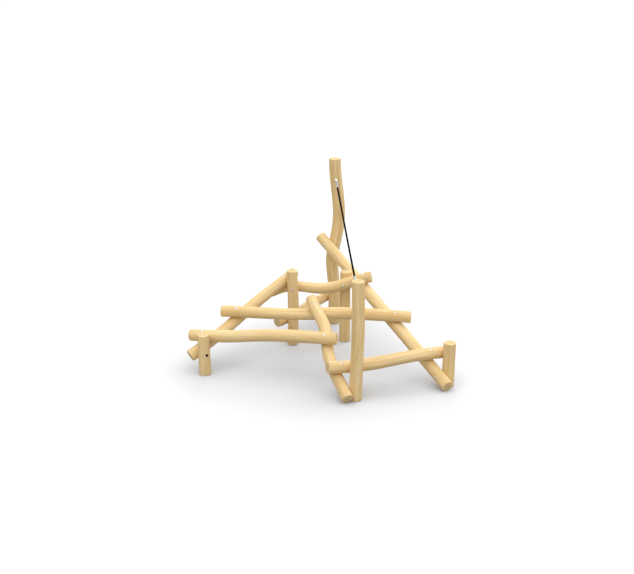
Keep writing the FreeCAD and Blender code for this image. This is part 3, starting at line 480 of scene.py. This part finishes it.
def timber_mesh(name, stations, seed):
    upright = name.startswith("post")
    q = np.linalg.norm(np.diff(np.array(stations)[:, :3], axis=0), axis=1).sum()
    # ring positions: close together at the two chamfered ends
    c = CHAMFER
    body = np.linspace(c * 1.6, q - c * 1.6, max(12, int(q / 0.0075)))
    s = np.r_[0.0, c * 0.12, c * 0.35, c * 0.7, c * 1.1, body, q - c * 1.1, q - c * 0.7, q - c * 0.35, q - c * 0.12, q]
    P, R, T, L = spline(stations, np.clip(s, 0, q))
    if upright:
        T = np.tile([0.0, 0.0, 1.0], (len(s), 1))
    first = np.array([1.0, 0.0, 0.0]) if upright else np.cross(np.cross(T[0], [0, 0, 1.0]), T[0])
    X, Y = transport(T, first)
    # rounded chamfer profile: how far the radius is pulled in near each end
    d = np.minimum(s, q - s)
    x = np.clip(d / c, 0, 1)
    pull = c * (1.0 - np.sqrt(np.clip(1 - (1 - x) ** 2, 0, 1))) ** 1.0
    ang = np.linspace(0, 2 * math.pi, SEG, endpoint=False)
    rng = np.random.default_rng(seed)
    # knots: (place along, angle, size)
    count = max(1, int(q / 0.55))
    knots = [(float(rng.uniform(0.08, 0.92) * q), float(rng.uniform(0, 2 * math.pi)), float(rng.uniform(0.007, 0.013))) for _ in range(count)]
    verts, rad_all = [], []
    ca, sa = np.cos(ang), np.sin(ang)
    amp = np.clip(d / 0.05, 0.15, 1.0)
    for i in range(len(s)):
        r0 = R[i] - pull[i]
        for j in range(SEG):
            n1 = value_noise(ca[j] * 1.3, sa[j] * 1.3, s[i] * 3.2, seed)
            n2 = value_noise(ca[j] * 3.4, sa[j] * 3.4, s[i] * 9.0, seed + 3)
            n3 = value_noise(ca[j] * 9.0, sa[j] * 9.0, s[i] * 14.0, seed + 7)
            dr = amp[i] * (0.0011 * n1 + 0.0006 * n2 + 0.00022 * n3)
            for (ks, ka, kr) in knots:
                ds = s[i] - ks
                if abs(ds) < kr * 5:
                    da = (ang[j] - ka + math.pi) % (2 * math.pi) - math.pi
                    dd = math.hypot(ds / 1.6, da * R[i])
                    dr += amp[i] * 0.0016 * math.exp(-(dd / (kr * 1.3)) ** 2)
            rad_all.append(r0 + dr)
    rad_all = np.array(rad_all).reshape(len(s), SEG)
    V = P[:, None, :] + X[:, None, :] * (rad_all * ca[None])[:, :, None] + Y[:, None, :] * (rad_all * sa[None])[:, :, None]
    tilt = None
    if name in OBLIQUE:
        # this end is sawn a little aslant, towards the front
        low = P[-1][2] < P[0][2]
        e, out = (len(s) - 1, T[-1]) if low else (0, -T[0])
        face = np.array(OBLIQUE[name][0])
        face = face - out * (face @ out); face /= np.linalg.norm(face)
        w = np.clip(1.0 - (q - s if low else s) / 0.06, 0.0, 1.0)
        w = w * w * (3 - 2 * w)
        V = V - out * (((V - P[:, None, :]) @ face) * w[:, None] * OBLIQUE[name][1])[:, :, None]
        V[:, :, 2] = np.maximum(V[:, :, 2], 0.001)
        plane = out + face * OBLIQUE[name][1]
        tilt = (P[e], plane / np.linalg.norm(plane))
    verts = V.reshape(-1, 3)
    n = len(s)
    faces = []
    for i in range(n - 1):
        a0, b0 = i * SEG, (i + 1) * SEG
        for j in range(SEG):
            k = (j + 1) % SEG
            faces.append((a0 + j, a0 + k, b0 + k, b0 + j))
    # end faces: concentric rings down to the pith
    extra = []
    base = len(verts)
    for end in (0, n - 1):
        ringv = list(range(end * SEG, end * SEG + SEG))
        centre = P[end]
        outer = V[end]
        prev = ringv
        for f in (0.9, 0.72, 0.5, 0.25):
            new = []
            for j in range(SEG):
                extra.append(centre + (outer[j] - centre) * f)
                new.append(base + len(extra) - 1)
            for j in range(SEG):
                k = (j + 1) % SEG
                quad = (prev[j], prev[k], new[k], new[j])
                faces.append(quad if end else quad[::-1])
            prev = new
        extra.append(centre)
        cidx = base + len(extra) - 1
        for j in range(SEG):
            k = (j + 1) % SEG
            tri = (prev[j], prev[k], cidx)
            faces.append(tri if end else tri[::-1])
    verts = np.vstack([verts, np.array(extra)])
    me = bpy.data.meshes.new(name + "_wood")
    me.from_pydata(verts.tolist(), [], faces)
    me.validate(); me.update()
    bm = bmesh.new(); bm.from_mesh(me)
    bmesh.ops.recalc_face_normals(bm, faces=bm.faces)
    bm.to_mesh(me); bm.free()
    return me, dict(q=q, P=P, R=R, T=T, X=X, Y=Y, s=s, knots=knots, tilt=tilt)


def cylinder_cutter(bm, a, b, radius, seg=40, steps=1):
    """Capped cylinder from a to b, added to bm, its wall divided into steps along its length."""
    a, b = Vector(a), Vector(b)
    z = (b - a).normalized()
    x = z.orthogonal().normalized(); y = z.cross(x)
    rows = []
    for k in range(steps + 1):
        c = a.lerp(b, k / steps)
        rows.append([bm.verts.new(c + (x * math.cos(2 * math.pi * i / seg) + y * math.sin(2 * math.pi * i / seg)) * radius) for i in range(seg)])
    for ra, rb in zip(rows, rows[1:]):
        for i in range(seg):
            j = (i + 1) % seg
            bm.faces.new((ra[i], ra[j], rb[j], rb[i]))
    bm.faces.new(rows[0][::-1]); bm.faces.new(rows[-1])


def box_cutter(bm, corner, xd, yd, l, w, h):
    c = Vector(corner); x = Vector(xd) * l; y = Vector(yd) * w; z = Vector(xd).cross(Vector(yd)) * h
    p = [bm.verts.new(c + x * i + y * j + z * k) for i in (0, 1) for j in (0, 1) for k in (0, 1)]
    for f in ((0, 1, 3, 2), (4, 6, 7, 5), (0, 4, 5, 1), (2, 3, 7, 6), (0, 2, 6, 4), (1, 5, 7, 3)):
        bm.faces.new([p[i] for i in f])


def cutter_object(name, build):
    me = bpy.data.meshes.new(name)
    bm = bmesh.new()
    build(bm)
    bmesh.ops.recalc_face_normals(bm, faces=bm.faces)
    bm.to_mesh(me); bm.free()
    ob = bpy.data.objects.new(name, me)
    bpy.context.scene.collection.objects.link(ob)
    return ob


def boolean(ob, cutter):
    mod = ob.modifiers.new("cut", "BOOLEAN")
    mod.operation = "DIFFERENCE"
    mod.solver = "EXACT"
    mod.object = cutter
    dg = bpy.context.evaluated_depsgraph_get()
    me = bpy.data.meshes.new_from_object(ob.evaluated_get(dg))
    ob.modifiers.clear()
    old = ob.data
    ob.data = me
    bpy.data.meshes.remove(old)
    bpy.data.objects.remove(cutter)


def write_grain(me, info, bore=None):
    """Straightened log coordinates for every vertex, plus the sawn, pit and knot masks."""
    co = np.zeros(len(me.vertices) * 3); me.vertices.foreach_get("co", co); co = co.reshape(-1, 3)
    P, T, X, Y, s, R = (info[k] for k in ("P", "T", "X", "Y", "s", "R"))
    idx = np.zeros(len(co), int); best = np.full(len(co), 1e9)
    for i in range(len(P)):
        d = ((co - P[i]) ** 2).sum(1)
        m = d < best
        best[m] = d[m]; idx[m] = i
    rel = co - P[idx]
    along = s[idx] + (rel * T[idx]).sum(1)
    lx = (rel * X[idx]).sum(1); ly = (rel * Y[idx]).sum(1)
    at = me.attributes.new("grain", "FLOAT_VECTOR", "POINT")
    at.data.foreach_set("vector", np.c_[lx, ly, along].astype(np.float32).ravel())
    r = np.hypot(lx, ly)
    endd = np.minimum(along, info["q"] - along)
    sawn = ((endd < 0.0012) & (r < R[idx] - 0.0055)).astype(np.float32)
    if info["tilt"] is not None:
        o, n = info["tilt"]
        sawn = np.maximum(sawn, (((co - o) @ n > -0.0014) & (r < R[idx] - 0.0055)).astype(np.float32))
    # depth below the round surface; the material paints shade into recesses from it
    pit = (np.clip((R[idx] - r) / 0.05, 0.0, 1.0) * (endd > 0.012)).astype(np.float32)
    if bore is not None:
        # painted shade: the deep bore is marked fully dark from just under its rim
        o, n = np.array(bore[0]), np.array(bore[1])
        t = (co - o) @ n
        off = np.linalg.norm(co - o - t[:, None] * n, axis=1)
        pit[(off < RECESS_R + 0.0006) & (t > -0.001) & (r < R[idx] - 0.0012)] = 1.0
    kn = np.zeros(len(co))
    a = np.arctan2(ly, lx)
    for (ks, ka, kr) in info["knots"]:
        da = (a - ka + math.pi) % (2 * math.pi) - math.pi
        d = np.hypot((along - ks) / 1.5, da * R[idx])
        kn = np.maximum(kn, np.clip(1.25 - d / kr, 0, 1) * (endd > 0.02))
    for nm, val in (("sawn", sawn), ("pit", pit), ("knot", kn.astype(np.float32))):
        at = me.attributes.new(nm, "FLOAT", "POINT")
        at.data.foreach_set("value", val.astype(np.float32))


def soften_cut_edges(ob):
    for p in ob.data.polygons:
        p.use_smooth = True
    me = ob.data
    bm = bmesh.new(); bm.from_mesh(me)
    for e in bm.edges:
        e.smooth = not (len(e.link_faces) == 2 and e.calc_face_angle(0.0) > math.radians(38))
    bm.to_mesh(me); bm.free()


DEEP_BORE = ("post_front_left", "log_left_slanted")
timbers = {}
for index, (name, stations) in enumerate(TIMBER.items()):
    seed = 11 + index * 7
    me, info = timber_mesh(name, stations, seed)
    ob = bpy.data.objects.new(name + "_wood", me)
    bpy.context.scene.collection.objects.link(ob)

    def cuts(bm, name=name):
        for (timber, corner, xd, yd, l, w, h) in SEATS:
            if timber == name:
                box_cutter(bm, corner, xd, yd, l, w, h)

    def holes(bm, name=name):
        for (a, b, fa, fb, kind) in JOINTS:
            fa, fb = Vector(fa), Vector(fb)
            n = (fa - fb).normalized()
            if a == name:
                cylinder_cutter(bm, fa, fa + n * 0.09, RECESS_R, steps=36 if (a, b) == DEEP_BORE else 1)
            if b == name and kind != "S":
                cylinder_cutter(bm, fb, fb - n * 0.09, RECESS_R)
        for (post, eye, axis_pt, radius) in EYE_SOCKETS:
            if post == name:
                o = Vector((eye[0] - axis_pt[0], eye[1] - axis_pt[1], 0)).normalized()
                face = Vector((axis_pt[0], axis_pt[1], eye[2])) + o * radius
                cylinder_cutter(bm, face - o * 0.004, face + o * 0.03, 0.0192)

    if any(t == name for t, *_ in SEATS):
        boolean(ob, cutter_object(name + "_seats", cuts))
    boolean(ob, cutter_object(name + "_holes", holes))
    bore = None
    if name == DEEP_BORE[0]:
        fa, fb = next((Vector(j[2]), Vector(j[3])) for j in JOINTS if (j[0], j[1]) == DEEP_BORE)
        bore = (fa, (fa - fb).normalized())
    write_grain(ob.data, info, bore)
    soften_cut_edges(ob)
    ob.data.materials.clear()
    ob.data.materials.append(wood_material(name + "_grain", index * 3.1 + 1.0))
    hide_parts(name)
    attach(ob, "root")
    timbers[name] = ob

# ------------------------------------------------------------------ rope
start, stop = Vector(ROPE_START), Vector(ROPE_STOP)
run = (stop - start)
run_n = run.normalized()
# pulled tight: six diameters of straight lead at each fitting and a few millimetres of sag between them
route = [start, start + run_n * 0.120, start + run * 0.5 + Vector((0.0, 0.0, -0.010)), stop - run_n * 0.120, stop]


def nurbs_points(points, name):
    cu = bpy.data.curves.new(name, "CURVE")
    cu.dimensions = "3D"
    sp = cu.splines.new("NURBS")
    sp.points.add(len(points) - 1)
    for p, c in zip(sp.points, points):
        p.co = (*c, 1.0)
    sp.order_u = 3
    sp.use_endpoint_u = True
    cu.resolution_u = 220
    ob = bpy.data.objects.new(name, cu)
    bpy.context.scene.collection.objects.link(ob)
    bpy.context.view_layer.update()
    me = bpy.data.meshes.new_from_object(ob.evaluated_get(bpy.context.evaluated_depsgraph_get()))
    pts = np.array([v.co for v in me.vertices])
    bpy.data.meshes.remove(me)
    bpy.data.objects.remove(ob); bpy.data.curves.remove(cu)
    return pts


line = nurbs_points(route, "rope_route")


def rope_mesh():
    C = line
    s = np.r_[0.0, np.cumsum(np.linalg.norm(np.diff(C, axis=0), axis=1))]
    T = np.gradient(C, axis=0); T /= np.linalg.norm(T, axis=1)[:, None]
    X, Y = transport(T, np.array([1.0, 0.0, 0.0]))
    strands, sr, hr, pitch = 6, 0.00355, 0.00690, 0.110
    verts, faces, tag = [], [], []
    seg = 12
    for k in range(strands + 1):
        if k < strands:
            a = 2 * math.pi * (k / strands + s / pitch)
            centre = C + X * (hr * np.cos(a))[:, None] + Y * (hr * np.sin(a))[:, None]
            r = sr
        else:
            centre, r = C, 0.00400
        TT = np.gradient(centre, axis=0); TT /= np.linalg.norm(TT, axis=1)[:, None]
        XX, YY = transport(TT, np.array([1.0, 0.0, 0.0]))
        b0 = len(verts)
        for i in range(len(s)):
            for j in range(seg):
                t = 2 * math.pi * j / seg
                verts.append(centre[i] + XX[i] * math.cos(t) * r + YY[i] * math.sin(t) * r)
                tag.append((s[i], t, k))
        for i in range(len(s) - 1):
            for j in range(seg):
                m = (j + 1) % seg
                faces.append((b0 + i * seg + j, b0 + i * seg + m, b0 + (i + 1) * seg + m, b0 + (i + 1) * seg + j))
        faces.append(tuple(b0 + j for j in range(seg))[::-1])
        faces.append(tuple(b0 + (len(s) - 1) * seg + j for j in range(seg)))
    me = bpy.data.meshes.new("rope_strands")
    me.from_pydata([tuple(v) for v in verts], [], faces)
    me.update()
    at = me.attributes.new("twist", "FLOAT_VECTOR", "POINT")
    at.data.foreach_set("vector", np.array(tag, np.float32).ravel())
    bm = bmesh.new(); bm.from_mesh(me)
    bmesh.ops.recalc_face_normals(bm, faces=bm.faces)
    bm.to_mesh(me); bm.free()
    for p in me.polygons:
        p.use_smooth = True
    return me


rope = bpy.data.objects.new("hand_rope_strands", rope_mesh())
bpy.context.scene.collection.objects.link(rope)
rm = Tree("rope_fibre")
ra = rm.node("ShaderNodeAttribute", attribute_type="GEOMETRY", attribute_name="twist")
rs = rm.node("ShaderNodeSeparateXYZ", inputs={0: ra.outputs["Vector"]})
yarn = rm.math("SINE", rm.math("ADD", rm.math("MULTIPLY", rs.outputs[0], 900.0), rm.math("MULTIPLY", rs.outputs[1], 5.0)))
fuzz = rm.noise(rm.scaled(ra.outputs["Vector"], 700.0, 6.0, 3.0), 1.0, 3.0, 0.6)
rm.put(rm.mix(rm.ramp(yarn, [(0.0, (0, 0, 0)), (1.0, (1, 1, 1))]), (0.002, 0.002, 0.0023), (0.006, 0.006, 0.007)), rm.bsdf.inputs["Base Color"])
rm.put(rm.math("ADD", 0.62, rm.math("MULTIPLY", fuzz, 0.25)), rm.bsdf.inputs["Roughness"])
rm.bsdf.inputs["Specular IOR Level"].default_value = 0.06
rm.put(rm.bump(rm.math("ADD", rm.math("MULTIPLY", yarn, 0.5), fuzz), 0.6, 0.0006), rm.bsdf.inputs["Normal"])
rope.data.materials.append(rm.mat)
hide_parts("hand_rope")
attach(rope, "root")


# ------------------------------------------------------------------ metal of the CAD pieces that stay
def metal(name, colour, rough, scale, grime):
    m = Tree(name)
    co = m.node("ShaderNodeTexCoord").outputs["Object"]
    big = m.noise(co, 35.0, 3.0, 0.55)
    fine = m.noise(co, scale, 4.0, 0.6)
    brushed = m.noise(m.scaled(co, 900.0, 900.0, 120.0), 1.0, 2.0, 0.5)
    dark = tuple(c * 0.72 for c in colour)
    col = m.mix(m.ramp(fine, [(0.35, (0, 0, 0)), (0.75, (1, 1, 1))]), colour, dark)
    col = m.mix(m.math("MULTIPLY", m.ramp(big, [(0.5, (0, 0, 0)), (0.7, (1, 1, 1))]), grime), col, tuple(c * 0.5 for c in colour))
    m.put(col, m.bsdf.inputs["Base Color"])
    m.bsdf.inputs["Metallic"].default_value = 1.0
    m.put(m.math("ADD", rough, m.math("MULTIPLY", fine, 0.14)), m.bsdf.inputs["Roughness"])
    m.put(m.bump(brushed, 0.12, 0.0003), m.bsdf.inputs["Normal"])
    return m.mat


steel = metal("stainless_satin", (0.88, 0.89, 0.90), 0.15, 260.0, 0.15)
alu = metal("pressed_aluminium", (0.72, 0.73, 0.74), 0.26, 180.0, 0.25)


def dress(ob, mat):
    if not ob.material_slots:
        ob.data.materials.append(mat)
    for slot in ob.material_slots:
        slot.material = mat


for n, o in NODES.items():
    if n.startswith(("bolt_", "screw_", "washers", "cap_nuts", "eye_screw")):
        dress(o, steel)
    elif n.startswith("rope_end"):
        dress(o, alu)

# ------------------------------------------------------------------ floor and light
floor_mesh = bpy.data.meshes.new("floor")
S = 30.0
floor_mesh.from_pydata([(-S, -S, 0), (S, -S, 0), (S, S, 0), (-S, S, 0)], [], [(0, 1, 2, 3)])
floor = bpy.data.objects.new("floor", floor_mesh)
bpy.context.scene.collection.objects.link(floor)
fm = Tree("floor_paper_painted_shadow")
# painted shadow: the floor colour seen by the camera is darkened by ambient occlusion under and around the structure,
# towards a cool grey that cancels the warm bounce from the wood; other rays see a dimmer plain floor
FLOOR_OPEN, FLOOR_PAINTED_SHADOW, FLOOR_BOUNCE = 0.795, (0.502, 0.535, 0.590), 0.40
near = fm.node("ShaderNodeAmbientOcclusion", samples=16, inputs={"Distance": 2.0})
painted_shadow_mask = fm.math("POWER", fm.math("SUBTRACT", 1.0, near.outputs["AO"], clamp=True), 0.5)
floor_with_painted_shadow = fm.mix(painted_shadow_mask, (FLOOR_OPEN,) * 3, FLOOR_PAINTED_SHADOW)
path = fm.node("ShaderNodeLightPath")
fm.put(fm.mix(path.outputs["Is Camera Ray"], (FLOOR_BOUNCE,) * 3, floor_with_painted_shadow), fm.bsdf.inputs["Base Color"])
fm.bsdf.inputs["Roughness"].default_value = 0.85
floor_mesh.materials.append(fm.mat)

scene = bpy.context.scene
scene.view_settings.view_transform = "Standard"
scene.view_settings.look = "None"

world = bpy.data.worlds.new("studio")
world.use_nodes = True
wt = world.node_tree
wt.nodes.clear()
w_out = wt.nodes.new("ShaderNodeOutputWorld")
w_soft = wt.nodes.new("ShaderNodeBackground")
w_soft.inputs[0].default_value = (1.0, 1.0, 1.0, 1.0)
w_soft.inputs[1].default_value = 0.275
w_gloss = wt.nodes.new("ShaderNodeBackground")
w_gloss.inputs[0].default_value = (1.0, 1.0, 1.0, 1.0)
w_gloss.inputs[1].default_value = 0.50
w_white = wt.nodes.new("ShaderNodeBackground")
w_white.inputs[0].default_value = (1.0, 1.0, 1.0, 1.0)
w_white.inputs[1].default_value = 1.05
w_path = wt.nodes.new("ShaderNodeLightPath")
w_mix = wt.nodes.new("ShaderNodeMixShader")
w_shine = wt.nodes.new("ShaderNodeMixShader")
wt.links.new(w_path.outputs["Is Glossy Ray"], w_shine.inputs[0])
wt.links.new(w_soft.outputs[0], w_shine.inputs[1])
wt.links.new(w_gloss.outputs[0], w_shine.inputs[2])
wt.links.new(w_path.outputs["Is Camera Ray"], w_mix.inputs[0])
wt.links.new(w_shine.outputs[0], w_mix.inputs[1])
wt.links.new(w_white.outputs[0], w_mix.inputs[2])
wt.links.new(w_mix.outputs[0], w_out.inputs[0])
scene.world = world


def sun(name, towards, angle, strength, colour=(1.0, 1.0, 1.0)):
    d = bpy.data.lights.new(name, "SUN")
    d.angle = math.radians(angle)
    d.energy = strength
    d.color = colour
    o = bpy.data.objects.new(name, d)
    o.rotation_euler = Vector(towards).to_track_quat("Z", "Y").to_euler()
    o.location = Vector(towards) * 5.0
    scene.collection.objects.link(o)


def from_sky(azimuth, elevation):
    """Unit vector towards a light; azimuth clockwise from +Y, both in degrees."""
    a, e = math.radians(azimuth), math.radians(elevation)
    return (math.cos(e) * math.sin(a), math.cos(e) * math.cos(a), math.sin(e))


# a white studio: soft light from overhead and all round, most of it from the front and the right
sun("overhead", (0.0, 0.0, 1.0), 60.0, 0.83)
sun("high_right_rear", from_sky(60.0, 50.0), 50.0, 0.55)
sun("high_right_front", from_sky(120.0, 50.0), 50.0, 0.585)
sun("high_front", from_sky(180.0, 50.0), 50.0, 0.74)
sun("high_left_front", from_sky(240.0, 50.0), 50.0, 0.705)
sun("high_left_rear", from_sky(300.0, 50.0), 50.0, 0.255)
sun("low_rear", from_sky(0.0, 20.0), 40.0, 0.867)
sun("low_right", from_sky(60.0, 20.0), 40.0, 0.732)
sun("low_front", from_sky(180.0, 20.0), 40.0, 0.15)
